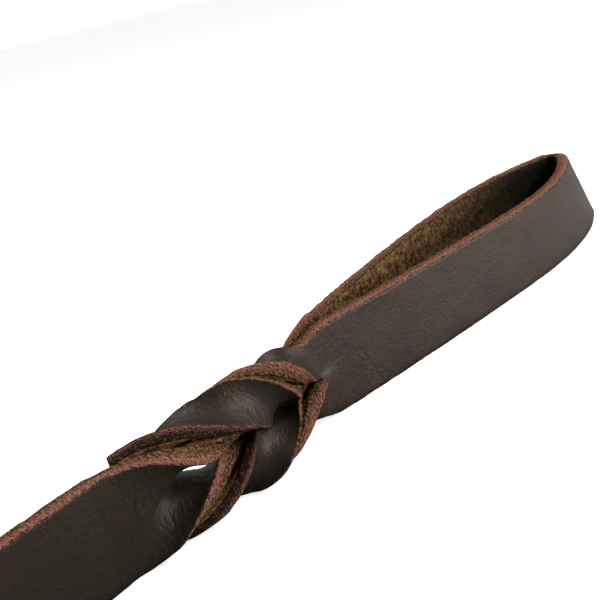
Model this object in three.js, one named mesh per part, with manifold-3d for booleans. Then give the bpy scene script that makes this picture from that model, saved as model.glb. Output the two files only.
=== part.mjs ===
// A leather training leash, standing on the long edge of its strap.
//
// One thick strap is doubled back at each end. At each doubled place both layers are slit
// lengthwise and the loop is pulled through the slit once, so that the two legs beside the slit
// each make a full turn. The big loop is the handle, and the small one carries a swivel bolt snap.
//
// Millimetres, +Z up. The origin is the throat of the handle, on the floor: the handle loop
// lies towards +X, and the strap runs away from it towards -X, turns back and ends at the snap.
import * as THREE from 'three';
import { mergeVertices } from 'three/addons/utils/BufferGeometryUtils.js';
import Module from 'manifold-3d';

const manifoldLibrary = await Module();
manifoldLibrary.setup();

// Strap
const STRAP_WIDTH = 25;
const LAYER = 4;
const GAP = 0.3;
const HALF_GAP = GAP / 2;
const MID_HEIGHT = STRAP_WIDTH / 2;

// Braid: a slit through both layers, and the doubled tail beyond it
const SLIT_LENGTH = 48;
const TAIL_END = 75;
const LEG_HEIGHT = 11.8;
const LEG_AXIS = STRAP_WIDTH / 4;
const LEG_CHAMFER = 2.4;
const LEG_LAYER_GAP = 0.7;
const BRAID_STEPS = 30;

// Handle loop: its outer face in plan, from the near side of the throat round to the far side
const HANDLE_OUTLINE = [
  [0, -4], [59, -3.8], [105.7, -1.2], [128, 4.5], [139.9, 10], [150.5, 17], [154.3, 22.1],
  [152.5, 26.5], [147, 28.6], [132, 30.5], [116.5, 30.9], [92, 28], [67.9, 23], [32, 13.5], [0, 4],
];
const HANDLE_STEPS = 60;
const HANDLE_OPENING_START = 6;
const HANDLE_LEAN = 0.088;

// Run of the strap from the handle's throat to the snap's: [length, turn in degrees]
const RUN_HEADING = 188.8;
const RUN = [[80, 0], [270, -8], [200, 165], [350, 14.2], [70, 0]];
const RUN_STEP = 10;
const FLEX_PLACES = [200, 450, 680];
const FLEX_GAP = 0.6;

// Snap: places along its axis, from the throat of the strap's small loop
const SMALL_LOOP_CENTRE = 13;
const SMALL_LOOP_RADIUS = 8;
const SMALL_LOOP_WIDTH = 16;
const TAPER_END = 7;
const EYE_BAR = 14.5;
const EYE_LENGTH = 14;
const EYE_HALF_HEIGHT = 10.5;
const EYE_WIRE = 1.75;
const EYE_CORNER = 4;
const SHANK_RADIUS = 2.5;
const BASE_START = 32;
const BASE_END = 39;
const WASHER_THICK = 0.8;
const WASHER_RADIUS = 4.1;
const RIVET_RADIUS = 3.4;
const RIVET_THICK = 1.4;
const BASE_STEP = 0.6;
const SIDE_OFFSET = 9.5;
const BARREL_RADIUS = 5;
const BORE_RADIUS = 3.3;
const BARREL_END = 60;
const PLUG_LENGTH = 3;
const BOLT_RADIUS = 3;
const BOLT_START = 51;
const BOLT_END = 66.4;
const BOLT_TRAVEL = 9;
const STUD_PLACE = 54.5;
const STUD_RADIUS = 1.4;
const STUD_DEPTH = 1.8;
const KNOB_LIFT = 1.2;
const KNOB_HEIGHT = 3;
const KNOB_RADIUS = 3.4;
const HOOK_TIP = 67;
const HOOK_ARM_RADIUS = 3.2;
const SPRING_RADIUS = 2.3;
const SPRING_WIRE = 0.45;
const SPRING_TURNS = 6;

const grain = { color: 0x3a332c, roughness: 0.45, metalness: 0 };
const suede = { color: 0x4a3828, roughness: 0.85, metalness: 0 };
const nickel = { color: 0xc9c5bc, roughness: 0.25, metalness: 1 };
const steel = { color: 0x9a9a98, roughness: 0.35, metalness: 1 };

function named(name, geometry, finish) {
  const mesh = new THREE.Mesh(geometry, new THREE.MeshStandardMaterial(finish));
  mesh.name = name;
  return mesh;
}

function toManifold(geometry) {
  const bare = geometry.clone();
  bare.deleteAttribute('normal');
  bare.deleteAttribute('uv');
  const merged = mergeVertices(bare, 1e-4);
  const mesh = new manifoldLibrary.Mesh({
    numProp: 3,
    vertProperties: new Float32Array(merged.attributes.position.array),
    triVerts: new Uint32Array(merged.index.array),
  });
  return new manifoldLibrary.Manifold(mesh);
}

function toGeometry(solid) {
  const mesh = solid.getMesh();
  const geometry = new THREE.BufferGeometry();
  geometry.setAttribute('position', new THREE.BufferAttribute(mesh.vertProperties, 3));
  geometry.setIndex(new THREE.BufferAttribute(mesh.triVerts, 1));
  geometry.computeVertexNormals();
  return geometry;
}

function joined(...geometries) {
  return toGeometry(geometries.map(toManifold).reduce((all, next) => all.add(next)));
}

function cut(geometry, ...tools) {
  return toGeometry(tools.map(toManifold).reduce((all, tool) => all.subtract(tool), toManifold(geometry)));
}

function plate(outline, holes, bottom, top) {
  const shape = new THREE.Shape(outline.map(([x, y]) => new THREE.Vector2(x, y)));
  shape.holes = holes.map((hole) => new THREE.Path(hole.map(([x, y]) => new THREE.Vector2(x, y))));
  const geometry = new THREE.ExtrudeGeometry(shape, { depth: top - bottom, bevelEnabled: false });
  return geometry.translate(0, 0, bottom);
}

function arcPoints(x, y, radius, from, to, steps) {
  return Array.from({ length: steps + 1 }, (_, i) => {
    const angle = THREE.MathUtils.degToRad(from + ((to - from) * i) / steps);
    return [x + radius * Math.cos(angle), y + radius * Math.sin(angle)];
  });
}

// A rod or disc along +X, from x0 to x1, on the axis y, z
function rod(radius, x0, x1, y = 0, z = MID_HEIGHT, sides = 24) {
  const geometry = new THREE.CylinderGeometry(radius, radius, x1 - x0, sides);
  return geometry.rotateZ(Math.PI / 2).translate((x0 + x1) / 2, y, z);
}

// ---------------------------------------------------------------- strap run

// Centre line of the doubled strap: the place and heading at a distance from the throat
function runAt(distance) {
  const place = { x: 0, y: 0, heading: THREE.MathUtils.degToRad(RUN_HEADING) };
  let left = distance;
  for (const [length, turn] of RUN) {
    const part = Math.min(left, length);
    const angle = (THREE.MathUtils.degToRad(turn) * part) / length;
    const chord = angle === 0 ? part : (part * Math.sin(angle / 2)) / (angle / 2);
    place.x += chord * Math.cos(place.heading + angle / 2);
    place.y += chord * Math.sin(place.heading + angle / 2);
    place.heading += angle;
    left -= part;
    if (left <= 0) break;
  }
  return place;
}

function besideRun(distance, side) {
  const { x, y, heading } = runAt(distance);
  return [x - side * Math.sin(heading), y + side * Math.cos(heading)];
}

const RUN_LENGTH = RUN.reduce((sum, [length]) => sum + length, 0);
const LAYER_MID = (HALF_GAP + LAYER) / 2;
const LAYER_HALF = (LAYER - HALF_GAP) / 2;

// A length of single strap on the run's left side. A flexing place has a round end on the piece
// after it and a flat end on the piece before it.
function strapLength(from, to, roundStart) {
  const count = Math.ceil((to - from) / RUN_STEP);
  const stations = Array.from({ length: count + 1 }, (_, i) => from + ((to - from) * i) / count);
  const outline = stations.map((s) => besideRun(s, HALF_GAP));
  outline.push(...stations.map((s) => besideRun(s, LAYER)).reverse());
  if (roundStart) {
    const [x, y] = besideRun(from, LAYER_MID);
    const back = THREE.MathUtils.radToDeg(runAt(from).heading) + 180;
    outline.push(...arcPoints(x, y, LAYER_HALF, back - 90, back + 90, 8).slice(1, -1));
  }
  return plate(outline, [], 0, STRAP_WIDTH);
}

function strapRuns() {
  const starts = [SLIT_LENGTH + HALF_GAP, ...FLEX_PLACES];
  const flatBack = LAYER_HALF + FLEX_GAP;
  const ends = [...FLEX_PLACES.map((s) => s - flatBack), RUN_LENGTH - SLIT_LENGTH - HALF_GAP];
  return starts.map((start, i) => named(`strap_run_${i + 1}`, strapLength(start, ends[i], i > 0), grain));
}

// ---------------------------------------------------------------- braids

// Section of one layer of a leg, with its outer corners taken off. Its long sides are split, so
// that the two layers stay parallel where they twist.
function legSection(side) {
  const half = LEG_HEIGHT / 2;
  const steps = Array.from({ length: 5 }, (_, i) => i / 2 - 1);
  const inner = steps.map((share) => new THREE.Vector2((side * LEG_LAYER_GAP) / 2, -share * half));
  const outer = steps.map((share) => {
    const reach = Math.abs(share) === 1 ? LAYER - LEG_CHAMFER : LAYER;
    return new THREE.Vector2(side * reach, share * half);
  });
  outer.splice(1, 0, new THREE.Vector2(side * LAYER, LEG_CHAMFER - half));
  outer.splice(-1, 0, new THREE.Vector2(side * LAYER, half - LEG_CHAMFER));
  return new THREE.Shape([...outer, ...inner]);
}

// One layer of one leg along +X, making a full turn that starts and ends gently
function twistedLayer(side, axisHeight, sense, from, to) {
  const depth = to - from;
  const bar = new THREE.ExtrudeGeometry(legSection(side), { depth, steps: BRAID_STEPS, bevelEnabled: false });
  const points = bar.attributes.position;
  for (let i = 0; i < points.count; i += 1) {
    const across = points.getX(i);
    const up = points.getY(i);
    const share = points.getZ(i) / depth;
    const turn = sense * (2 * Math.PI * share - Math.sin(2 * Math.PI * share) / 2);
    points.setXYZ(
      i,
      from + points.getZ(i),
      across * Math.cos(turn) - up * Math.sin(turn),
      axisHeight + across * Math.sin(turn) + up * Math.cos(turn),
    );
  }
  bar.computeVertexNormals();
  return bar;
}

// Both legs of a braid and its cut tail, in a frame with the throat at the origin and the loop
// towards +X. frontLayer and backLayer name the layers at -Y and +Y.
function braid(prefix, frontLayer, backLayer, tailSide, throatGap) {
  const group = new THREE.Group();
  for (const [leg, height, sense] of [['upper', STRAP_WIDTH - LEG_AXIS, 1], ['lower', LEG_AXIS, -1]]) {
    for (const [layer, side] of [[frontLayer, -1], [backLayer, 1]]) {
      const bar = twistedLayer(side, height, sense, HALF_GAP - SLIT_LENGTH, -throatGap);
      group.add(named(`${prefix}_${leg}_leg_${layer}`, bar, grain));
    }
  }
  const tail = new THREE.BoxGeometry(TAIL_END - SLIT_LENGTH - HALF_GAP, LAYER - HALF_GAP, STRAP_WIDTH);
  tail.translate(-(TAIL_END + SLIT_LENGTH + HALF_GAP) / 2, tailSide * LAYER_MID, MID_HEIGHT);
  group.add(named(`${prefix}_tail_end`, tail, suede));
  return group;
}

// ---------------------------------------------------------------- handle loop

function handleLoop() {
  const curve = new THREE.CatmullRomCurve3(
    HANDLE_OUTLINE.map(([x, y]) => new THREE.Vector3(x, y, 0)),
    false,
    'centripetal',
  );
  const outer = [];
  const opening = [];
  for (let i = 0; i <= HANDLE_STEPS; i += 1) {
    const point = curve.getPointAt(i / HANDLE_STEPS);
    const tangent = curve.getTangentAt(i / HANDLE_STEPS);
    outer.push([point.x, point.y]);
    const inner = [point.x - LAYER * tangent.y, point.y + LAYER * tangent.x];
    if (inner[0] > HANDLE_OPENING_START) opening.push(inner);
  }
  outer.push(...arcPoints(0, 0, LAYER, 90, 270, 12).slice(1, -1));
  const loop = plate(outer, [opening.reverse()], 0, STRAP_WIDTH);
  const points = loop.attributes.position;
  for (let i = 0; i < points.count; i += 1) {
    const low = 1 - points.getZ(i) / STRAP_WIDTH;
    points.setX(i, points.getX(i) * (1 + HANDLE_LEAN * low));
  }
  loop.computeVertexNormals();
  return named('hand_loop', loop, grain);
}

// ---------------------------------------------------------------- snap, along +X from the throat

function snapLoop() {
  const centre = SMALL_LOOP_CENTRE;
  const lean = THREE.MathUtils.radToDeg(Math.asin((SMALL_LOOP_RADIUS - LAYER) / centre));
  const outer = [
    [HALF_GAP, -LAYER],
    ...arcPoints(centre, 0, SMALL_LOOP_RADIUS, -90 - lean, 90 + lean, 20),
    [HALF_GAP, LAYER],
  ];
  const opening = [
    ...arcPoints(centre, 0, SMALL_LOOP_RADIUS - LAYER, -90 - lean, 90 + lean, 20),
    [HALF_GAP + 3, 0.4],
    [HALF_GAP + 3, -0.4],
  ];
  const full = plate(outer, [opening.reverse()], 0, STRAP_WIDTH);
  const edge = (STRAP_WIDTH - SMALL_LOOP_WIDTH) / 2;
  const far = centre + 2 * SMALL_LOOP_RADIUS;
  const wedge = [[HALF_GAP, -1], [far, -1], [far, edge], [TAPER_END, edge], [HALF_GAP, 0]];
  const lower = plate(wedge, [], -far, far).rotateX(Math.PI / 2);
  const upper = plate(wedge.map(([x, z]) => [x, STRAP_WIDTH - z]).reverse(), [], -far, far).rotateX(Math.PI / 2);
  return named('snap_loop', cut(full, lower, upper), grain);
}

function swivelEye() {
  const [x0, x1] = [EYE_BAR, EYE_BAR + EYE_LENGTH];
  const [z0, z1] = [MID_HEIGHT - EYE_HALF_HEIGHT, MID_HEIGHT + EYE_HALF_HEIGHT];
  const ring = [];
  const corners = [[x1, z1, 0], [x0, z1, 90], [x0, z0, 180], [x1, z0, 270]];
  for (const [x, z, from] of corners) {
    const cx = x + (x === x0 ? EYE_CORNER : -EYE_CORNER);
    const cz = z + (z === z0 ? EYE_CORNER : -EYE_CORNER);
    ring.push(...arcPoints(cx, cz, EYE_CORNER, from, from + 90, 6));
  }
  const points = ring.map(([x, z]) => new THREE.Vector3(x, 0, z));
  const wire = sweptRing(points, EYE_WIRE, 12);
  const rivetStart = BASE_END + WASHER_THICK + 2 * GAP;
  const shank = rod(SHANK_RADIUS, x1, rivetStart + RIVET_THICK / 2);
  const neck = rod(SHANK_RADIUS + 1, x1, BASE_START - GAP);
  const rivet = rod(RIVET_RADIUS, rivetStart, rivetStart + RIVET_THICK);
  return named('snap_swivel_eye', joined(wire, shank, neck, rivet), nickel);
}

// A closed ring of round wire through coplanar points in the XZ plane
function sweptRing(points, radius, sides) {
  const positions = [];
  const index = [];
  const count = points.length;
  points.forEach((point, i) => {
    const ahead = points[(i + 1) % count].clone().sub(points[(i + count - 1) % count]).normalize();
    const outward = new THREE.Vector3(ahead.z, 0, -ahead.x);
    for (let k = 0; k < sides; k += 1) {
      const angle = (2 * Math.PI * k) / sides;
      const away = outward.clone().multiplyScalar(radius * Math.cos(angle));
      positions.push(point.x + away.x, point.y + radius * Math.sin(angle), point.z + away.z);
      const a = i * sides + k;
      const b = i * sides + ((k + 1) % sides);
      const c = ((i + 1) % count) * sides + k;
      const d = ((i + 1) % count) * sides + ((k + 1) % sides);
      index.push(a, b, c, b, d, c);
    }
  });
  const geometry = new THREE.BufferGeometry();
  geometry.setAttribute('position', new THREE.Float32BufferAttribute(positions, 3));
  geometry.setAttribute('uv', new THREE.Float32BufferAttribute(new Float32Array((positions.length / 3) * 2), 2));
  geometry.setIndex(index);
  geometry.computeVertexNormals();
  return geometry;
}

// A solid disc or post along -Y from y0 outwards to y1
function post(radius, y0, y1, x, sides = 20) {
  return new THREE.CylinderGeometry(radius, radius, y0 - y1, sides).translate(x, (y0 + y1) / 2, MID_HEIGHT);
}

function hookArm() {
  const points = [new THREE.Vector3(BASE_END - 1, SIDE_OFFSET, MID_HEIGHT)];
  for (const [x, y] of arcPoints(HOOK_TIP, 0, SIDE_OFFSET, 90, -90, 16)) {
    points.push(new THREE.Vector3(x, y, MID_HEIGHT));
  }
  const section = new THREE.Shape().absarc(0, 0, HOOK_ARM_RADIUS, 0, 2 * Math.PI);
  const curve = new THREE.CatmullRomCurve3(points, false, 'centripetal');
  return new THREE.ExtrudeGeometry(section, { steps: 40, curveSegments: 8, extrudePath: curve, bevelEnabled: false });
}

function hookBody() {
  const side = SIDE_OFFSET;
  const blockHalf = BARREL_RADIUS - BASE_STEP;
  const corner = BASE_START + BARREL_RADIUS;
  const outline = [
    [BASE_END, -side - BARREL_RADIUS + BASE_STEP],
    [BASE_END, side + HOOK_ARM_RADIUS],
    ...arcPoints(corner, side + HOOK_ARM_RADIUS - BARREL_RADIUS, BARREL_RADIUS, 90, 180, 6),
    ...arcPoints(corner, -side + BASE_STEP, BARREL_RADIUS, 180, 270, 6),
  ];
  const block = plate(outline, [], MID_HEIGHT - blockHalf, MID_HEIGHT + blockHalf);
  const barrel = rod(BARREL_RADIUS, BASE_START, BARREL_END, -side);
  const bore = rod(BORE_RADIUS, BASE_START - 1, BARREL_END + 1, -side);
  const swivelHole = rod(SHANK_RADIUS + GAP, BASE_START - 1, BASE_END + 1);
  const slotHalf = STUD_RADIUS + GAP;
  const slotLength = BOLT_TRAVEL + 2 * slotHalf;
  const slot = new THREE.BoxGeometry(slotLength, BARREL_RADIUS + 1, 2 * slotHalf);
  slot.translate(STUD_PLACE - BOLT_TRAVEL / 2, -side - (BARREL_RADIUS + 1) / 2, MID_HEIGHT);
  const shell = joined(block, barrel, hookArm());
  return named('snap_hook_body', cut(shell, bore, swivelHole, slot), nickel);
}

function swivelWasher() {
  const start = BASE_END + GAP;
  const washer = rod(WASHER_RADIUS, start, start + WASHER_THICK);
  const hole = rod(SHANK_RADIUS + GAP, start - 1, start + WASHER_THICK + 1);
  return named('snap_swivel_washer', cut(washer, hole), steel);
}

function gateBolt() {
  const bolt = rod(BOLT_RADIUS, BOLT_START, BOLT_END, -SIDE_OFFSET);
  const surface = -SIDE_OFFSET - BOLT_RADIUS;
  const seat = post(STUD_RADIUS + GAP, surface + STUD_DEPTH, surface - 1, STUD_PLACE);
  return named('snap_gate_bolt', cut(bolt, seat), nickel);
}

function thumbStud() {
  const foot = -SIDE_OFFSET - BOLT_RADIUS + STUD_DEPTH - GAP;
  const knobStart = -SIDE_OFFSET - BARREL_RADIUS - KNOB_LIFT;
  const stem = post(STUD_RADIUS, foot, knobStart - 1, STUD_PLACE);
  const profile = [
    [0, 0], [KNOB_RADIUS * 0.7, 0], [KNOB_RADIUS, KNOB_HEIGHT * 0.35],
    [KNOB_RADIUS, KNOB_HEIGHT * 0.65], [KNOB_RADIUS * 0.7, KNOB_HEIGHT], [0, KNOB_HEIGHT],
  ];
  const knob = new THREE.LatheGeometry(profile.map(([r, h]) => new THREE.Vector2(r, h)), 20);
  knob.rotateX(Math.PI).translate(STUD_PLACE, knobStart, MID_HEIGHT);
  return named('snap_thumb_stud', joined(stem, knob), nickel);
}

function boltSpring() {
  const start = BASE_START + PLUG_LENGTH + GAP + SPRING_WIRE;
  const length = BOLT_START - GAP - SPRING_WIRE - start;
  const points = Array.from({ length: SPRING_TURNS * 12 + 1 }, (_, i) => {
    const angle = (2 * Math.PI * i) / 12;
    const x = start + (length * i) / (SPRING_TURNS * 12);
    const y = -SIDE_OFFSET + SPRING_RADIUS * Math.cos(angle);
    return new THREE.Vector3(x, y, MID_HEIGHT + SPRING_RADIUS * Math.sin(angle));
  });
  const curve = new THREE.CatmullRomCurve3(points);
  const section = new THREE.Shape().absarc(0, 0, SPRING_WIRE, 0, 2 * Math.PI);
  const options = { steps: SPRING_TURNS * 16, curveSegments: 3, extrudePath: curve, bevelEnabled: false };
  return named('snap_bolt_spring', new THREE.ExtrudeGeometry(section, options), steel);
}

function barrelPlug() {
  const plug = rod(BORE_RADIUS - GAP, BASE_START, BASE_START + PLUG_LENGTH, -SIDE_OFFSET);
  return named('snap_barrel_plug', plug, steel);
}

const leash = new THREE.Group();
const handleGroup = new THREE.Group();
handleGroup.rotation.z = THREE.MathUtils.degToRad(RUN_HEADING - 180);
handleGroup.add(braid('handle', 'strap', 'tail', 1, LAYER + FLEX_GAP));
leash.add(handleLoop(), handleGroup, ...strapRuns());

const snapGroup = new THREE.Group();
const end = runAt(RUN_LENGTH);
snapGroup.position.set(end.x, end.y, 0);
snapGroup.rotation.z = end.heading;
snapGroup.add(braid('snap', 'tail', 'strap', -1, HALF_GAP), snapLoop(), swivelEye());
snapGroup.add(hookBody(), swivelWasher(), gateBolt(), thumbStud(), boltSpring(), barrelPlug());
leash.add(snapGroup);

export default leash;
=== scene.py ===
"""A leather training leash: one thick strap with a pulled-through handle, and a swivel bolt snap.

The strap's shape is worked out in millimetres in "strap space": x along the strap towards its loop,
with the throat where the loop starts at 0, y through its thickness and z up across its width.
Meshes are written in metres, in the shared frame.
"""
import math
from functools import cache

import bpy
import numpy as np
from mathutils import Matrix, Vector


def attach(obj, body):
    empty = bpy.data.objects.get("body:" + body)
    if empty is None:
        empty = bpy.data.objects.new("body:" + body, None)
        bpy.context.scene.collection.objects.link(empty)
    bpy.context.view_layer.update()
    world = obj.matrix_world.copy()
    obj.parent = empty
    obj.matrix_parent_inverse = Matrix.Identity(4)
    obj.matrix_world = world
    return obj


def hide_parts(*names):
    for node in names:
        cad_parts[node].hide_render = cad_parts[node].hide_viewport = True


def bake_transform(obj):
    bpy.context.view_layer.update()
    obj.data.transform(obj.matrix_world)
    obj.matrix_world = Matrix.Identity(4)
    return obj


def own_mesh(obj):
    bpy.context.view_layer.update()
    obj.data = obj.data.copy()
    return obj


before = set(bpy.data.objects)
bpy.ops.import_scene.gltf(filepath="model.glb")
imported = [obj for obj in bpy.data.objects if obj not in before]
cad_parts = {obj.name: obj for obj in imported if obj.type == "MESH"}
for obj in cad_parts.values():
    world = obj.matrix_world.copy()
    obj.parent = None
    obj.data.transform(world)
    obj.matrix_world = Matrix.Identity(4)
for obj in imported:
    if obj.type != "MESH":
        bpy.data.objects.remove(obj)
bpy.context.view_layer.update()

MM = 0.001

# ---------------------------------------------------------------- driving dimensions, mm and degrees

# The strap's section, the braid's length, and how far behind the throat the cut tail ends
WIDTH = 25.0
HALF = WIDTH / 2
LAYER = 4.0
SLIT = 48.0
TAIL = 59.0

# The hand loop's outer face from above, from the near layer round to the far one. Its lower edge
# reaches further out than its upper edge by HANDLE_LEAN of the distance from the throat.
HANDLE_OUTLINE = [
    (59, -3.8), (105.7, -1.2), (128, 4.5), (139.9, 10), (150.5, 17), (154.3, 22.1),
    (152.5, 26.5), (147, 28.6), (132, 30.5), (116.5, 30.9), (92, 28), (67.9, 23), (32, 13.3),
]
HANDLE_LEAN = 0.088

# The strap's way across the floor, as (length, turn) of each stretch from the handle's throat. Over
# the first BEND_IN behind the throat it turns from the handle's line into that way.
RUN_HEADING = 188.8
RUN = [(80, 0), (270, -8), (200, 165), (350, 14.2), (70, 0)]
RUN_LENGTH = sum(length for length, _ in RUN)
BEND_IN = 18.0

# Where the leather pieces of the run meet, and its flex joints, as distances along the run
HANDLE_LEAD = 124.0
FIRST_SEAM = 325.0
SECOND_SEAM = 565.0
SNAP_LEAD = 825.0
FLEX_AT = (200.0, 450.0, 680.0)
FLEX_HALF = 50.0

# The small loop at the snap: its width, how far its braid sits back, and its round end
SNAP_WIDTH = 16.0
SNAP_TAPER = 7.0
SNAP_BRAID = 6.0
SNAP_CENTRE = 13.0
SNAP_RADIUS = 8.0
SNAP_LEAN = math.degrees(math.asin((SNAP_RADIUS - LAYER) / SNAP_CENTRE))

# The bolt's spring in the snap's barrel
BARREL_SIDE = 9.5
SPRING_START = 35.85
SPRING_END = 50.15
SPRING_RADIUS = 2.3
SPRING_WIRE = 0.45
SPRING_TURNS = 6

# ---------------------------------------------------------------- small helpers


def smooth(t):
    t = np.clip(t, 0, 1)
    return t * t * (3 - 2 * t)


def unit(v):
    return v / np.linalg.norm(v, axis=-1, keepdims=True)


def distances_along(line):
    return np.r_[0, np.cumsum(np.linalg.norm(np.diff(line, axis=0), axis=1))]


def lattice(ix, iy, iz, seed):
    """A repeatable value from -1 to 1 for each whole-number place."""
    h = (ix * 374761393 + iy * 668265263 + iz * 1442695041 + seed * 1274126177) & 0xFFFFFFFF
    h = ((h ^ (h >> 13)) * 1274126177) & 0xFFFFFFFF
    return ((h ^ (h >> 16)) & 0xFFFF) / 32767.5 - 1


def noise(points, size, seed):
    """Smooth value noise. size is the width of a feature along each axis."""
    p = points / np.asarray(size, float)
    base = np.floor(p).astype(np.int64)
    f = p - base
    f = f * f * (3 - 2 * f)
    total = np.zeros(len(p))
    for corner in range(8):
        step = np.array([corner & 1, corner >> 1 & 1, corner >> 2 & 1])
        weight = np.prod(np.where(step, f, 1 - f), axis=1)
        total += weight * lattice(*(base + step).T, seed)
    return total


def through(keys, t):
    """A smooth curve through (place, value...) keys, level at both ends."""
    keys = np.asarray(keys, float)
    place, value = keys[:, 0], keys[:, 1:]
    slope = np.zeros_like(value)
    slope[1:-1] = (value[2:] - value[:-2]) / (place[2:] - place[:-2])[:, None]
    t = np.clip(t, place[0], place[-1])
    i = np.clip(np.searchsorted(place, t, side="right") - 1, 0, len(place) - 2)
    step = (place[i + 1] - place[i])[:, None]
    f = ((t - place[i])[:, None]) / step
    a, b = value[i], value[i + 1]
    return (
        a * (1 + 2 * f) * (1 - f) ** 2
        + b * f * f * (3 - 2 * f)
        + slope[i] * step * f * (1 - f) ** 2
        - slope[i + 1] * step * f * f * (1 - f)
    )


def resampled(line, spacing):
    along = distances_along(line)
    places = np.linspace(0, along[-1], max(2, int(round(along[-1] / spacing)) + 1))
    return np.column_stack([np.interp(places, along, line[:, k]) for k in range(line.shape[1])])


def spline(points, spacing, steps=200):
    """Centripetal Catmull-Rom curve through points, resampled at an even spacing."""
    p = np.asarray(points, float)
    p = np.vstack([2 * p[0] - p[1], p, 2 * p[-1] - p[-2]])
    dense = []
    for a, b, c, d in zip(p[:-3], p[1:-2], p[2:-1], p[3:]):
        knots = [0.0]
        for u, v in ((a, b), (b, c), (c, d)):
            knots.append(knots[-1] + np.linalg.norm(v - u) ** 0.5)
        t0, t1, t2, t3 = knots
        t = np.linspace(t1, t2, steps, endpoint=False)[:, None]
        ab = (t1 - t) / (t1 - t0) * a + (t - t0) / (t1 - t0) * b
        bc = (t2 - t) / (t2 - t1) * b + (t - t1) / (t2 - t1) * c
        cd = (t3 - t) / (t3 - t2) * c + (t - t2) / (t3 - t2) * d
        abc = (t2 - t) / (t2 - t0) * ab + (t - t0) / (t2 - t0) * bc
        bcd = (t3 - t) / (t3 - t1) * bc + (t - t1) / (t3 - t1) * cd
        dense.append((t2 - t) / (t2 - t1) * abc + (t - t1) / (t2 - t1) * bcd)
    dense = np.vstack(dense + [p[-2:-1]])
    return resampled(dense, spacing)


def new_object(name, points, faces, materials):
    """A smooth-shaded mesh object from points in mm."""
    mesh = bpy.data.meshes.new(name)
    mesh.from_pydata((points * MM).tolist(), [], faces)
    mesh.polygons.foreach_set("use_smooth", np.ones(len(mesh.polygons), bool))
    for finish in materials:
        mesh.materials.append(finish)
    made = bpy.data.objects.new(name, mesh)
    bpy.context.scene.collection.objects.link(made)
    return made


# ---------------------------------------------------------------- where the strap runs


def run_at(distance):
    """Place and heading of the doubled strap's middle at a distance from the handle's throat."""
    x = y = 0.0
    heading = math.radians(RUN_HEADING)
    for length, turn in RUN:
        part = min(distance, length)
        angle = math.radians(turn) * part / length
        chord = part if angle == 0 else part * math.sin(angle / 2) / (angle / 2)
        x += chord * math.cos(heading + angle / 2)
        y += chord * math.sin(heading + angle / 2)
        heading += angle
        distance -= part
        if distance <= 0:
            break
    return x, y, heading


def from_handle(points):
    """Strap space at the handle to the frame. Behind the throat the strap bends into its run."""
    out = points.copy()
    places = np.array([run_at(max(0.0, -x)) for x in points[:, 0]])
    behind = points[:, 0] < 0
    yaw = (places[:, 2] - math.pi) * smooth(-points[:, 0] / BEND_IN)
    bent = np.column_stack([points[:, 0] * np.cos(yaw), points[:, 0] * np.sin(yaw)])
    far = smooth((-points[:, 0] - BEND_IN) / BEND_IN)[:, None]
    base = bent * (1 - far) + places[:, :2] * far
    out[behind, 0] = (base[:, 0] - points[:, 1] * np.sin(yaw))[behind]
    out[behind, 1] = (base[:, 1] + points[:, 1] * np.cos(yaw))[behind]
    return out


def from_snap(points):
    """Strap space at the snap to the frame: x carries on along the run, and y is turned over."""
    places = np.array([run_at(min(RUN_LENGTH, RUN_LENGTH + x)) for x in points[:, 0]])
    ahead = np.maximum(points[:, 0], 0)
    cos, sin = np.cos(places[:, 2]), np.sin(places[:, 2])
    out = points.copy()
    out[:, 0] = places[:, 0] + ahead * cos + points[:, 1] * sin
    out[:, 1] = places[:, 1] + ahead * sin - points[:, 1] * cos
    return out


def from_run(points):
    """A distance along the run, an offset to one side and a height, to the frame."""
    places = np.array([run_at(x) for x in points[:, 0]])
    out = points.copy()
    out[:, 0] = places[:, 0] + points[:, 1] * np.sin(places[:, 2])
    out[:, 1] = places[:, 1] - points[:, 1] * np.cos(places[:, 2])
    return out


def middle_of_run(distance):
    """The strap's middle at a distance along the run, in metres."""
    x, y, _ = run_at(distance)
    return (x * MM, y * MM, HALF * MM)


# ---------------------------------------------------------------- the strap as a ribbon

CELL = 0.55
RUN_CELL = 0.9
CORNER = 0.45
DEPTH_ROWS = 8
COLUMNS = 46
MIDDLE = COLUMNS // 2
SLIT_EASE = 6
GRAIN, FLESH, EDGE = range(3)


class Grid:
    """Collects the vertices (station, across, depth, leg) and the quads of one closed strap."""

    def __init__(self):
        self.rows, self.count = [], 0
        self.faces, self.kinds = [], []

    def add(self, station, across, depth, leg=0):
        block = np.broadcast_arrays(*[np.asarray(v, float) for v in (station, across, depth, leg)])
        self.rows.append(np.stack([b.ravel() for b in block], axis=1))
        ids = np.arange(self.count, self.count + block[0].size).reshape(block[0].shape)
        self.count += block[0].size
        return ids

    def quads(self, ids, kind, flipped):
        corners = cells_of(ids)
        self.faces.append(corners[:, ::-1] if flipped else corners)
        self.kinds.append(np.full(len(corners), kind))


def cells_of(ids):
    """The quads between the vertices of a rectangular grid."""
    corners = [ids[:-1, :-1], ids[1:, :-1], ids[1:, 1:], ids[:-1, 1:]]
    return np.stack(corners, axis=-1).reshape(-1, 4)


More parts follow.
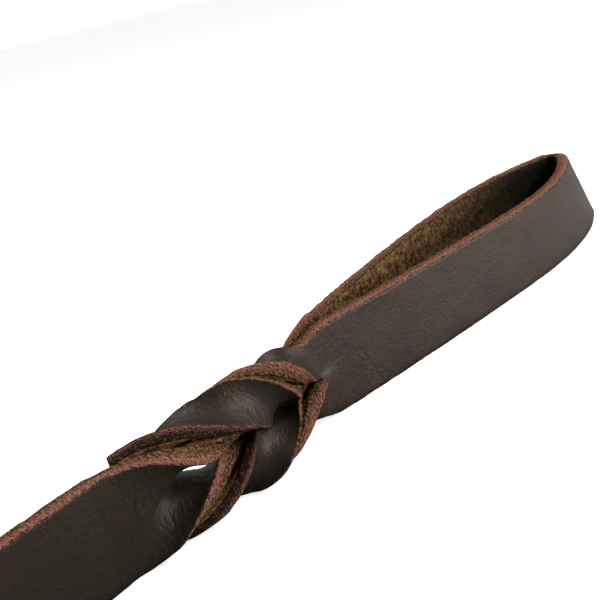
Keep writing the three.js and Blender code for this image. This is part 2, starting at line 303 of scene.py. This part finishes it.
def closed_ribbon(stations, slits):
    """Vertices and quads of a strap with square ends, slit lengthwise over each station range in slits.

    A vertex is (station, across, depth, leg): across runs from -HALF to HALF, depth from 0 on the
    grain side to LAYER on the flesh side, and leg is -1 for the lower leg's corners at a slit.
    Faces come with a kind: GRAIN, FLESH or EDGE.
    """
    grid = Grid()
    along = np.arange(stations)[:, None]
    across = np.linspace(-HALF + CORNER, HALF - CORNER, COLUMNS + 1)[None, :]
    depths = np.linspace(CORNER, LAYER - CORNER, DEPTH_ROWS - 1)[None, :]
    # The grain sheet is the grid's first block of rows and the flesh sheet its second.
    upper = {GRAIN: grid.add(along, across, 0.0), FLESH: grid.add(along, across, LAYER)}
    lower = {side: ids[:, : MIDDLE + 1].copy() for side, ids in upper.items()}
    walls = [grid.add(along, sign * HALF, depths) for sign in (-1, 1)]
    for wall, column, flipped in ((0, 0, True), (1, COLUMNS, False)):
        walls[wall] = np.hstack([upper[GRAIN][:, [column]], walls[wall], upper[FLESH][:, [column]]])
        grid.quads(walls[wall], EDGE, flipped)
    for first, last in slits:
        span, inside = np.arange(first, last + 1), np.arange(first + 1, last)
        open_share = smooth(np.minimum(inside - first, last - inside) / SLIT_EASE)
        for side, depth in ((GRAIN, 0.0), (FLESH, LAYER)):
            lower[side][inside, MIDDLE] = grid.add(inside, -CORNER * open_share, depth, -1)
            block = grid.rows[side]
            block[inside * (COLUMNS + 1) + MIDDLE, 1] = CORNER * open_share
        up_wall = grid.add(span[:, None], 0.0, depths)
        down_wall = up_wall.copy()
        down_wall[1:-1] = grid.add(inside[:, None], 0.0, depths, -1)
        for wall, sheets, flipped in ((up_wall, upper, True), (down_wall, lower, False)):
            sides = [sheets[side][span, MIDDLE, None] for side in (GRAIN, FLESH)]
            grid.quads(np.hstack([sides[0], wall, sides[1]]), EDGE, flipped)
    for side in (GRAIN, FLESH):
        grid.quads(upper[side][:, MIDDLE:], side, side == FLESH)
        grid.quads(lower[side], side, side == FLESH)
    for station, flipped in ((0, True), (stations - 1, False)):
        inner = grid.add(station, across[:, 1:-1], depths.T)
        middle = np.hstack([walls[0][station, 1:-1, None], inner, walls[1][station, 1:-1, None]])
        grid.quads(np.vstack([upper[GRAIN][station], middle, upper[FLESH][station]]), EDGE, flipped)
    return np.vstack(grid.rows), np.vstack(grid.faces), np.concatenate(grid.kinds)


def vertex_normals(points, faces):
    p = points[faces]
    n = np.cross(p[:, 2] - p[:, 0], p[:, 3] - p[:, 1])
    total = np.zeros_like(points)
    for k in range(4):
        np.add.at(total, faces[:, k], n)
    return unit(total + 1e-12)


# ---------------------------------------------------------------- the pulled-through braid

# How each leg lies: (x along the strap, turn in degrees, forward, height of its middle)
UPPER_LEG = [
    (-70, 0, 0.0, 18.75),
    (-59, 2, -1.8, 18.2),
    (-50, 48, -3.5, 19.5),
    (-40, 103, -2.9, 20.15),
    (-32, 142, -4.2, 20.7),
    (-24, 178, -4.8, 19.8),
    (-16, 237, -5.0, 19.1),
    (-8, 298, -3.5, 19.4),
    (0, 353, -0.8, 18.7),
    (5, 359, -0.2, 18.6),
    (12, 360, 0.0, 18.75),
]
LOWER_LEG = [
    (-70, 0, 0.0, 6.25),
    (-59, -3, -1.6, 6.8),
    (-50, -54, -2.9, 7.5),
    (-40, -106, -3.3, 6.8),
    (-32, -155, -4.2, 7.1),
    (-24, -221, -6.4, 7.3),
    (-16, -251, -4.3, 8.2),
    (-8, -296, -2.7, 8.0),
    (0, -338, -2.0, 7.3),
    (5, -354, -0.6, 6.6),
    (12, -360, 0.0, 6.25),
]
SLIT_FROM = -50.0
SLIT_TO = 2.5

# Where a leg draws in, as (share, start, over, end, over): its outer half at the throat, and its
# inner half left of the crossing
WAIST = (0.48, -14, 10, 8, 12)
PINCH = (0.25, -50, 8, -29, 8)

# The layers part by OPENING at a leg's edges and by MIDDLE_OPENING of that at its middle, and swell
# by SWELL on their inner faces. Both start BRAID_START inside the braid's ends, over BRAID_EASE.
OPENING = 0.85
MIDDLE_OPENING = 0.2
SWELL = 0.8
BRAID_START = 6.0
BRAID_EASE = 10.0

# Past a slit's end the legs merge over a band that widens to FOLD each side of the strap's middle
FOLD = 3.2
FOLD_AT_SLIT = 0.25
FOLD_EASE = 4.0


def slits_in(line):
    """The station ranges of a plan that are slit: one through each layer of the braid."""
    inside = np.flatnonzero((line[:, 0] > SLIT_FROM) & (line[:, 0] < SLIT_TO))
    gap = int(np.argmax(np.diff(inside)))
    return [(inside[0], inside[gap]), (inside[gap + 1], inside[-1])]


def drawn_in(x, share, start, rise, end, fall):
    """1 outside the stretch from start to end, and 1 - share inside it."""
    return 1 - share * smooth((x - start) / rise) * smooth((end - x) / fall)


def braided(flat, across, leg, side):
    """Turns the legs beside a slit and folds the strap just past its ends.

    flat is in strap space before the twist. side is -1 for the near layer and 1 for the far one.
    """
    x = flat[:, 0]
    from_end = np.minimum(x - UPPER_LEG[0][0], UPPER_LEG[-1][0] - x)
    in_braid = smooth((from_end - BRAID_START) / BRAID_EASE)
    legs = []
    for sign, keys in ((-1, LOWER_LEG), (1, UPPER_LEG)):
        turn, forward, height = through(keys, x).T
        turn = np.radians(turn)
        up = across - sign * HALF / 2
        up = np.where(up * sign > 0, up * drawn_in(x, *WAIST), up * drawn_in(x, *PINCH))
        to_edge = np.clip(np.abs(up) / (HALF / 2), 0, 1) ** 2
        parted = side * OPENING * in_braid * (MIDDLE_OPENING + (1 - MIDDLE_OPENING) * to_edge)
        inside = 1 - np.clip(np.abs(flat[:, 1]) / LAYER, 0, 1)
        y = flat[:, 1] + parted + SWELL * in_braid * inside
        legs.append(np.column_stack([
            x,
            forward + y * np.cos(turn) - up * np.sin(turn),
            height + y * np.sin(turn) + up * np.cos(turn),
        ]))
    beyond = np.maximum(SLIT_FROM - x, x - SLIT_TO)
    fold = FOLD * (FOLD_AT_SLIT + (1 - FOLD_AT_SLIT) * smooth(beyond / FOLD_EASE))
    merged = smooth((across + fold) / (2 * fold))
    upper = (leg >= 0) & (across >= 0)
    share = np.where(beyond < 0, upper, merged)[:, None]
    out = legs[0] * (1 - share) + legs[1] * share
    return np.where(from_end[:, None] > 0, out, flat)


# ---------------------------------------------------------------- plans: the grain face from above

# How far a loop's curve is led in before the throat, its spacing before it is resampled, and the
# points on the snap loop's round end
LEAD_IN = 10.0
FINE_SPACING = 0.1
ARC_POINTS = 40


def stations_on(*stretches):
    """Joins stretches of plan and gives each station its place, outward side and distance."""
    plan = np.vstack([stretches[0]] + [s[1:] for s in stretches[1:]])
    ahead = unit(np.gradient(plan, axis=0))
    outward = np.column_stack([ahead[:, 1], -ahead[:, 0]])
    return plan, outward, distances_along(plan)


def straight(x0, x1, y, spacing=CELL):
    return resampled(np.array([(x0, y), (x1, y)], float), spacing)


def doubled(lead, loop, tail_end):
    """The plan of a strap that runs in on its near layer, round a loop and back along its far layer."""
    return stations_on(
        straight(-lead, -SLIT, -LAYER), straight(-SLIT, 0, -LAYER), loop,
        straight(0, -SLIT, LAYER), straight(-SLIT, -tail_end, LAYER),
    )


def hand_loop_plan():
    """The hand loop's outer face, from the near layer at the throat round to the far layer."""
    near, far = (0, -LAYER), (0, LAYER)
    outline = [(-LEAD_IN, -LAYER), near, *HANDLE_OUTLINE, far, (-LEAD_IN, LAYER)]
    curve = spline(outline, FINE_SPACING)
    first, last = (np.argmin(np.linalg.norm(curve - end, axis=1)) for end in (near, far))
    return resampled(curve[first : last + 1], CELL)


def snap_loop_plan():
    """The snap's small loop: a round end with a straight side to each layer."""
    arc = np.radians(np.linspace(-90 - SNAP_LEAN, 90 + SNAP_LEAN, ARC_POINTS))
    rounded = np.column_stack([SNAP_CENTRE + SNAP_RADIUS * np.cos(arc), SNAP_RADIUS * np.sin(arc)])
    return resampled(np.vstack([(0, -LAYER), rounded, (0, LAYER)]), CELL)


# ---------------------------------------------------------------- leather pieces

# Relief of each side: (height in mm, width of a feature along, across and through the strap, seed)
GRAIN_RELIEF = [(0.07, (9, 7, 9), 1), (0.03, (2.2, 1.6, 2), 2)]
EDGE_RELIEF = [(0.12, (5, 3, 2.2), 3), (0.20, (1.5, 0.9, 0.8), 11)]
FLESH_RELIEF = [(0.08, (2.4, 2.0, 2), 5), (0.10, (0.9, 0.9, 1), 6)]


def surface_relief(strap, depth):
    """How far each vertex stands off the ideal strap: smooth grain, ragged edge, napped flesh."""
    grain, edge, flesh = (
        sum(height * noise(strap, size, seed) for height, size, seed in waves)
        for waves in (GRAIN_RELIEF, EDGE_RELIEF, FLESH_RELIEF)
    )
    return np.where(depth <= 0, grain, np.where(depth >= LAYER, flesh, edge))


def leather_piece(
    name, line, outward, distances, to_frame,
    slits=(), taper=None, lean=0.0, twist=1, braid_shift=0.0, mirrored=False,
):
    """One closed strap mesh. distances gives each station's place along the whole strap."""
    vertices, faces, kinds = closed_ribbon(len(line), slits)
    station = vertices[:, 0].astype(int)
    across, depth, leg = vertices[:, 1], vertices[:, 2], vertices[:, 3]
    flat = np.zeros((len(vertices), 3))
    flat[:, :2] = line[station] - outward[station] * depth[:, None]
    flat[:, 2] = HALF + across
    if slits:
        side = np.sign(outward[station, 1])
        flat = braided(flat * (1, twist, 1) + (braid_shift, 0, 0), across, leg, side * twist)
        flat = (flat - (braid_shift, 0, 0)) * (1, twist, 1)
    if taper:
        flat[:, 2] = HALF + (flat[:, 2] - HALF) * taper(line[station, 0])
    flat[:, 0] += np.maximum(flat[:, 0], 0) * lean * (1 - flat[:, 2] / WIDTH)
    points = to_frame(flat)
    if mirrored:
        faces = faces[:, ::-1]
    strap = np.column_stack([distances[station], across, depth])
    points += vertex_normals(points, faces) * surface_relief(strap, depth)[:, None]
    points[:, 2] = np.maximum(points[:, 2], 0)
    finishes = (grain_leather(), flesh_leather(), edge_leather())
    piece = new_object(name, points, faces.tolist(), finishes)
    piece.data.polygons.foreach_set("material_index", kinds.astype(np.int32))
    attribute = piece.data.attributes.new("strap", "FLOAT_VECTOR", "POINT")
    attribute.data.foreach_set("vector", strap.astype(np.float32).ravel())
    return piece


def handle_leather():
    line, outward, along = doubled(HANDLE_LEAD, hand_loop_plan(), TAIL)
    return leather_piece(
        "handle_strap", line, outward, along - HANDLE_LEAD, from_handle,
        slits=slits_in(line), lean=HANDLE_LEAN,
    )


def run_leather(name, start, end):
    line, outward, along = stations_on(straight(start, end, -LAYER, RUN_CELL))
    return leather_piece(name, line, outward, -(start + along), from_run, mirrored=True)


def snap_taper(x):
    return 1 - (1 - SNAP_WIDTH / WIDTH) * smooth(x / SNAP_TAPER)


def snap_leather():
    line, outward, along = doubled(RUN_LENGTH - SNAP_LEAD, snap_loop_plan(), TAIL + SNAP_BRAID)
    return leather_piece(
        "snap_strap", line, outward, -(SNAP_LEAD + along), from_snap,
        slits=slits_in(line + (SNAP_BRAID, 0)), taper=snap_taper, twist=-1,
        braid_shift=SNAP_BRAID, mirrored=True,
    )


# ---------------------------------------------------------------- materials

# Distances along the whole strap: the hand loop's fold, the braid's from that fold, and where the tail's
# layer starts. CREASE is the reach, in mm, of the painted shade in tight places.
FOLD_DISTANCE = 165.0
BRAID_FROM_FOLD = 185.0
TAIL_DISTANCE = 330.0
CREASE = 6.0

BLACK = (0.0, 0.0, 0.0)
WHITE = (1.0, 1.0, 1.0)
# Painted shade: the near-black colour mixed into creases and tight places by ambient occlusion
CREASE_SHADE = (0.004, 0.003, 0.002)

GRAIN_DEEP = (0.022, 0.0135, 0.0095)
GRAIN_WARM = (0.036, 0.0215, 0.0155)
GRAIN_MOTTLE = (0.013, 0.009, 0.007)
# Painted shade: the darker colour the grain takes far from the hand loop
GRAIN_SHADE_FAR_FROM_HAND = (0.010, 0.0085, 0.005)
GRAIN_SHEEN = (1.0, 0.84, 0.75, 1)

# The cut edge from its grain side (0) to its flesh side (1): a dyed pink rim, then golden fibre
EDGE_COLOURS = [
    (0.0, (0.050, 0.021, 0.016)),
    (0.08, (0.27, 0.117, 0.083)),
    (0.40, (0.27, 0.115, 0.078)),
    (0.62, (0.15, 0.068, 0.035)),
    (0.84, (0.17, 0.085, 0.039)),
    (1.0, (0.05, 0.025, 0.012)),
]
EDGE_TUFT = (0.42, 0.22, 0.11)
# Painted shade: the dark colour put in the pits between the edge's tufts
EDGE_PIT_SHADE = (0.020, 0.009, 0.006)
# Painted shade: the near-black put on the cut edges of the tail's layer, deepening towards their flesh
# side
EDGE_TAIL_SHADE = (0.014, 0.008, 0.006)

FLESH_COLOURS = [
    (0.36, (0.028, 0.014, 0.007)),
    (0.45, (0.125, 0.064, 0.026)),
    (0.54, (0.235, 0.130, 0.049)),
    (0.66, (0.39, 0.23, 0.094)),
]
# Painted shade: the dark colour the flesh side takes deep inside the hand loop's fold
FLESH_FOLD_SHADE = (0.02, 0.015, 0.010)

BRASS = (0.75, 0.53, 0.24)
STEEL = (0.56, 0.56, 0.55)


def grey(level):
    return (level,) * 3


class Nodes:
    """Short calls for building a node tree."""

    def __init__(self, tree, shader="Principled BSDF"):
        self.tree = tree
        self.shader = tree.nodes[shader]

    def node(self, kind, inputs=None, **settings):
        made = self.tree.nodes.new(kind)
        for key, value in settings.items():
            setattr(made, key, value)
        for key, value in (inputs or {}).items():
            self.feed(made.inputs[key], value)
        return made

    def feed(self, socket, value):
        if isinstance(value, bpy.types.NodeSocket):
            self.tree.links.new(value, socket)
        else:
            socket.default_value = value

    def set(self, **values):
        for key, value in values.items():
            self.feed(self.shader.inputs[key.replace("_", " ")], value)

    def strap(self, stretch=(1, 1, 1)):
        """A vertex's place on the flat strap in mm: along, across and through it."""
        place = self.node("ShaderNodeAttribute", attribute_name="strap").outputs["Vector"]
        return self.node("ShaderNodeVectorMath", {0: place, 1: stretch}, operation="MULTIPLY").outputs[0]

    def split(self, vector):
        return self.node("ShaderNodeSeparateXYZ", {"Vector": vector}).outputs

    def from_fold(self):
        """The distance along the strap from the hand loop's fold."""
        along = self.split(self.strap())["X"]
        return self.maths("ABSOLUTE", self.maths("SUBTRACT", along, FOLD_DISTANCE))

    def noise(self, vector, scale, detail=3.0, roughness=0.5):
        settings = {"Vector": vector, "Scale": scale, "Detail": detail, "Roughness": roughness}
        return self.node("ShaderNodeTexNoise", settings).outputs["Fac"]

    def ramp(self, factor, *stops):
        ramp = self.node("ShaderNodeValToRGB", {"Fac": factor})
        elements = ramp.color_ramp.elements
        while len(elements) < len(stops):
            elements.new(0.5)
        for element, (place, colour) in zip(elements, stops):
            element.position = place
            element.color = (*colour, 1)
        return ramp.outputs["Color"]

    def rescaled(self, value, low, high, to_low=0.0, to_high=1.0, kind="LINEAR"):
        ends = {"Value": value, 1: low, 2: high, 3: to_low, 4: to_high}
        return self.node("ShaderNodeMapRange", ends, interpolation_type=kind).outputs[0]

    def mix(self, factor, a, b, blend="MIX"):
        made = self.node("ShaderNodeMix", data_type="RGBA", blend_type=blend)
        for key, value in ((0, factor), (6, a), (7, b)):
            self.feed(made.inputs[key], value if not isinstance(value, tuple) else (*value, 1))
        return made.outputs[2]

    def maths(self, operation, a, b=0.0):
        return self.node("ShaderNodeMath", {0: a, 1: b}, operation=operation).outputs[0]

    def scaled(self, value, factor, start):
        return self.maths("ADD", self.maths("MULTIPLY", value, factor), start)

    def openness(self):
        """Near 0 in a tight crease, 1 on an open surface."""
        reach = {"Distance": CREASE * MM}
        shade = self.node("ShaderNodeAmbientOcclusion", reach, samples=4).outputs["AO"]
        return self.rescaled(shade, 0.15, 0.75)

    # Painted shade: darkens a colour towards the crease colour wherever ambient occlusion finds a tight
    # place
    def shaded(self, colour):
        return self.mix(self.openness(), CREASE_SHADE, colour)

    def bump(self, height, strength, distance, normal=None):
        inputs = {"Height": height, "Strength": strength, "Distance": distance}
        if normal is not None:
            inputs["Normal"] = normal
        return self.node("ShaderNodeBump", inputs).outputs["Normal"]


def new_material(name):
    made = bpy.data.materials.new(name)
    made.use_nodes = True
    return made, Nodes(made.node_tree)


@cache
def grain_leather():
    """Waxed grain: glossier near the hand loop's fold and darkened with painted shade far from it, creased
    near the braid.
    """
    made, n = new_material("grain_leather")
    from_fold = n.from_fold()
    # 1 near the hand loop's fold, 0 far from it: more gloss near the fold, and painted shade darkening the
    # colour far from it
    gloss_and_painted_light_near_hand = n.rescaled(from_fold, 270.0, 80.0, kind="SMOOTHSTEP")
    blotch = n.noise(n.strap(), 0.07, 4, 0.65)
    mottle = n.noise(n.strap(), 0.7, 4, 0.65)
    wrinkles = n.noise(n.strap((1.0, 0.32, 1.0)), 0.95, 2, 0.55)
    pebble = n.noise(n.strap(), 1.15, 1.5, 0.5)
    from_braid = n.maths("ABSOLUTE", n.maths("SUBTRACT", from_fold, BRAID_FROM_FOLD))
    creased = n.scaled(n.rescaled(from_braid, 80.0, 20.0, kind="SMOOTHSTEP"), 0.85, 0.15)
    colour = n.mix(n.ramp(blotch, (0.35, BLACK), (0.65, WHITE)), GRAIN_DEEP, GRAIN_WARM)
    mottled = n.maths("MULTIPLY", n.ramp(mottle, (0.42, BLACK), (0.66, WHITE)), 0.6)
    colour = n.mix(mottled, colour, GRAIN_MOTTLE)
    # Painted shade: far from the hand loop the grain colour is darkened
    colour = n.mix(gloss_and_painted_light_near_hand, n.mix(0.6, colour, GRAIN_SHADE_FAR_FROM_HAND), colour)
    n.set(Base_Color=n.shaded(colour), Specular_Tint=GRAIN_SHEEN)
    # Sheen: stronger near the hand loop's fold, and dimmed by painted shade in creases
    n.set(Specular_IOR_Level=n.maths("MULTIPLY", n.scaled(gloss_and_painted_light_near_hand, 0.20, 0.17), n.openness()))
    n.set(Roughness=n.scaled(mottle, 0.30, 0.34))
    patches = n.noise(n.strap((1, 1.6, 1)), 0.085, 2)
    patches = n.ramp(patches, (0.40, grey(0.12)), (0.62, WHITE))
    soft = n.bump(pebble, 1.0, 0.15 * MM)
    n.set(Normal=n.bump(wrinkles, n.maths("MULTIPLY", creased, patches), 0.45 * MM, soft))
    return made


@cache
def edge_leather():
    """A raw cut edge: fibres in tufts, with painted shade in the pits between them and on the cut edges of
    the tail's layer.
    """
    made, n = new_material("cut_edge")
    place = n.split(n.strap())
    share = n.maths("DIVIDE", place["Z"], LAYER)
    wander = n.maths("SUBTRACT", n.noise(n.strap(), 1.1, 4, 0.7), 0.5)
    ragged = n.maths("ADD", share, n.maths("MULTIPLY", wander, 0.55))
    tufts = n.noise(n.strap((0.8, 1.0, 1.0)), 2.0, 2, 0.6)
    lit_tufts = n.ramp(tufts, (0.58, BLACK), (0.68, grey(0.5)))
    colour = n.mix(lit_tufts, n.ramp(ragged, *EDGE_COLOURS), EDGE_TUFT)
    # Painted shade in the low places between the tufts, deeper towards the flesh side
    pit_shade = n.ramp(tufts, (0.45, WHITE), (0.54, BLACK))
    colour = n.mix(n.maths("MULTIPLY", pit_shade, n.scaled(share, 0.45, 0.50)), colour, EDGE_PIT_SHADE)
    # Painted shade on the cut edges of the tail's layer: darker towards the flesh side, broken up by the
    # tufts
    shade_towards_flesh = n.rescaled(ragged, 0.25, 0.55, 0.35, 1.0)
    tail_edge_shade = n.maths("MULTIPLY", n.maths("GREATER_THAN", place["X"], TAIL_DISTANCE), shade_towards_flesh)
    outer = n.maths("GREATER_THAN", n.maths("ABSOLUTE", place["Y"]), HALF / 2)
    outer = n.maths("MAXIMUM", outer, n.maths("LESS_THAN", place["Y"], 0.0))
    outer = n.maths("MULTIPLY", outer, n.ramp(tufts, (0.50, WHITE), (0.60, grey(0.55))))
    colour = n.mix(n.maths("MULTIPLY", tail_edge_shade, outer), colour, EDGE_TAIL_SHADE)
    n.set(Base_Color=n.shaded(colour), Roughness=0.95, Specular_IOR_Level=0.06)
    n.set(Normal=n.bump(tufts, 1.0, 1.0 * MM))
    return made


@cache
def flesh_leather():
    """The napped inner side, darkened with painted shade towards the hand loop's fold."""
    made, n = new_material("flesh_side")
    nap = n.noise(n.strap(), 0.6, 4, 0.72)
    # Painted shade: the flesh darkens towards the hand loop's fold
    fold_shade = n.rescaled(n.from_fold(), 120.0, 25.0)
    colour = n.mix(fold_shade, n.ramp(nap, *FLESH_COLOURS), FLESH_FOLD_SHADE)
    n.set(Base_Color=colour, Roughness=1.0, Specular_IOR_Level=0.1)
    n.set(Normal=n.bump(nap, 1.0, 1.4 * MM))
    return made


def metal(name, colour, roughness):
    """Handled metal: cloudy colour and gloss, with fine scuffs."""
    made, n = new_material(name)
    place = n.node("ShaderNodeTexCoord").outputs["Object"]
    cloud = n.noise(place, 220, 4, 0.6)
    fine = n.noise(place, 1800, 2)
    n.set(Base_Color=n.mix(cloud, tuple(0.8 * c for c in colour), colour), Metallic=1.0)
    n.set(Roughness=n.scaled(cloud, 0.15, roughness))
    n.set(Normal=n.bump(fine, 0.2, 0.03 * MM, n.bump(cloud, 0.15, 0.15 * MM)))
    return made


# ---------------------------------------------------------------- the snap's metal

COIL_STEPS = 24
WIRE_SIDES = 8


def given_metal(node, finish):
    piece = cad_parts[node]
    piece.data.materials.clear()
    piece.data.materials.append(finish)
    return piece


def cast_metal(node, voxel, passes, finish):
    """Rounds a CAD node's corners as casting and tumbling do, and gives it a metal."""
    piece = given_metal(node, finish)
    remesh = piece.modifiers.new("cast", "REMESH")
    remesh.mode = "VOXEL"
    remesh.voxel_size = voxel * MM
    remesh.use_smooth_shade = True
    soften = piece.modifiers.new("tumbled", "SMOOTH")
    soften.iterations = passes
    soften.factor = 0.5


def bolt_spring(finish):
    """A coil from the plug at the barrel's closed end to the bolt."""
    angle = np.linspace(0, 2 * math.pi * SPRING_TURNS, COIL_STEPS * SPRING_TURNS + 1)
    along = np.linspace(SPRING_START, SPRING_END, len(angle))
    coil = np.column_stack([along, SPRING_RADIUS * np.cos(angle), SPRING_RADIUS * np.sin(angle)])
    ahead = unit(np.gradient(coil, axis=0))
    out = coil * (0, 1, 1) / SPRING_RADIUS
    side = np.cross(ahead, out)
    around = np.linspace(0, 2 * math.pi, WIRE_SIDES, endpoint=False)[None, :, None]
    section = np.cos(around) * out[:, None] + np.sin(around) * side[:, None]
    wire = coil[:, None] + SPRING_WIRE * section
    points = from_snap(wire.reshape(-1, 3) + (0, BARREL_SIDE, HALF))
    ids = np.arange(len(points)).reshape(len(coil), WIRE_SIDES)
    ids = np.hstack([ids, ids[:, :1]])
    caps = [ids[0, :-1].tolist(), ids[-1, -2::-1].tolist()]
    spring = new_object("bolt_spring", points, cells_of(ids).tolist() + caps, [finish])
    ends = np.array([(x, BARREL_SIDE, HALF) for x in (SPRING_START, SPRING_END)])
    plug, bolt = from_snap(ends) * MM
    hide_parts("snap_bolt_spring")
    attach(spring, "snap_hook")
    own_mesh(spring)


# ---------------------------------------------------------------- the stage

# The camera: what it looks at in mm, how far off it is, its angles in degrees, and its lens in mm
AIM = (4.8, 0, 32.1)
CAMERA_DISTANCE = 222.9
CAMERA_AROUND, CAMERA_DOWN, CAMERA_ROLL = 37.8, 20.0, -13.3
LENS, SENSOR = 54, 36
CLIP_START = 5.0

FLOOR_REACH = 6.0
FLOOR_GLOW = 0.71

# Lights that face the throat: (name, place in metres, size of the disk in metres, watts)
LIGHTS = [
    ("key", (-0.20, 0.30, 0.95), 0.55, 9),
    ("lobe", (0.80, -0.50, 0.70), 0.30, 6),
    ("front", (0.60, -0.78, 0.14), 0.40, 9),
]


def camera():
    data = bpy.data.cameras.new("camera")
    made = bpy.data.objects.new("camera", data)
    bpy.context.scene.collection.objects.link(made)
    data.lens, data.sensor_width = LENS, SENSOR
    around, down, roll = (math.radians(v) for v in (CAMERA_AROUND, CAMERA_DOWN, CAMERA_ROLL))
    ahead = (math.cos(down) * math.sin(around), math.cos(down) * math.cos(around), -math.sin(down))
    ahead = Vector(ahead)
    level = Vector((math.cos(around), -math.sin(around), 0))
    raised = level.cross(ahead)
    right = math.cos(roll) * level + math.sin(roll) * raised
    up = math.cos(roll) * raised - math.sin(roll) * level
    centre = Vector(AIM) * MM - ahead * CAMERA_DISTANCE * MM
    axes = Matrix((right, up, -ahead)).transposed().to_4x4()
    made.matrix_world = Matrix.Translation(centre) @ axes
    data.clip_start = CLIP_START * MM
    bpy.context.scene.camera = made


def is_seen(n):
    """1 for what the camera sees directly, 0 for light that bounces."""
    return n.node("ShaderNodeLightPath").outputs["Is Camera Ray"]


def floor():
    """A pale floor that looks white, but lights the leash's underside less."""
    corners = [(-1, -1, 0), (1, -1, 0), (1, 1, 0), (-1, 1, 0)]
    mesh = bpy.data.meshes.new("floor")
    mesh.from_pydata([tuple(FLOOR_REACH * v for v in corner) for corner in corners], [], [(0, 1, 2, 3)])
    made = bpy.data.objects.new("floor", mesh)
    bpy.context.scene.collection.objects.link(made)
    paper, n = new_material("paper")
    n.set(Roughness=0.9, Specular_IOR_Level=0.1)
    n.set(Base_Color=n.mix(is_seen(n), grey(0.45), grey(0.9)))
    n.set(Emission_Color=(*WHITE, 1), Emission_Strength=n.maths("MULTIPLY", is_seen(n), FLOOR_GLOW))
    mesh.materials.append(paper)


def studio():
    """Soft light from all round, stronger from behind and low down, on a white backdrop."""
    world = bpy.data.worlds.new("studio")
    world.use_nodes = True
    n = Nodes(world.node_tree, "Background")
    way = n.split(n.node("ShaderNodeTexCoord").outputs["Generated"])
    backdrop = n.ramp(n.maths("ADD", way["Y"], 0.5), (0.2, grey(0.28)), (0.8, grey(0.85)))
    overhead = n.ramp(way["Z"], (0.15, WHITE), (0.55, grey(0.35)))
    n.set(Color=n.mix(is_seen(n), n.mix(1.0, backdrop, overhead, "MULTIPLY"), WHITE))
    bpy.context.scene.world = world
    for name, place, size, power in LIGHTS:
        data = bpy.data.lights.new(name, "AREA")
        data.shape, data.size, data.energy = "DISK", size, power
        made = bpy.data.objects.new(name, data)
        bpy.context.scene.collection.objects.link(made)
        made.location = place
        made.rotation_euler = (-Vector(place)).to_track_quat("-Z", "Y").to_euler()
    bpy.context.scene.view_settings.view_transform = "Standard"


# ---------------------------------------------------------------- the leash

LEGS = ["upper_leg_strap", "upper_leg_tail", "lower_leg_strap", "lower_leg_tail"]

# (piece, first and last distance, flex joint's distance, bodies before and after it, CAD nodes)
RUN_PIECES = [
    (
        "strap_first_bend", HANDLE_LEAD, FIRST_SEAM, FLEX_AT[0],
        "handle_run", "middle_run", ["strap_run_1"],
    ),
    (
        "strap_turn", FIRST_SEAM, SECOND_SEAM, FLEX_AT[1],
        "middle_run", "return_run", ["strap_run_2"],
    ),
    (
        "strap_last_bend", SECOND_SEAM, SNAP_LEAD, FLEX_AT[2],
        "return_run", "snap_run", ["strap_run_3", "strap_run_4"],
    ),
]

# (CAD node, voxel in mm, smoothing passes)
CAST_PARTS = [
    ("snap_hook_body", 0.28, 6),
    ("snap_swivel_eye", 0.25, 6),
    ("snap_thumb_stud", 0.18, 4),
    ("snap_gate_bolt", 0.18, 4),
]

handle = handle_leather()
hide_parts("hand_loop", "handle_tail_end", *[f"handle_{leg}" for leg in LEGS])
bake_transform(handle)

snap_end = snap_leather()
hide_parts("snap_loop", "snap_tail_end", *[f"snap_{leg}" for leg in LEGS])
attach(snap_end, "snap_run")

for name, first, last, joint, before, after, nodes in RUN_PIECES:
    piece = run_leather(name, first, last)
    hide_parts(*nodes)
    start, end = middle_of_run(joint - FLEX_HALF), middle_of_run(joint + FLEX_HALF)
    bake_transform(piece)

brass, steel = metal("brass", BRASS, 0.2), metal("steel", STEEL, 0.28)
for node, voxel, passes in CAST_PARTS:
    cast_metal(node, voxel, passes, brass)
for node in ("snap_swivel_washer", "snap_barrel_plug"):
    given_metal(node, steel)
bolt_spring(steel)

camera()
floor()
studio()
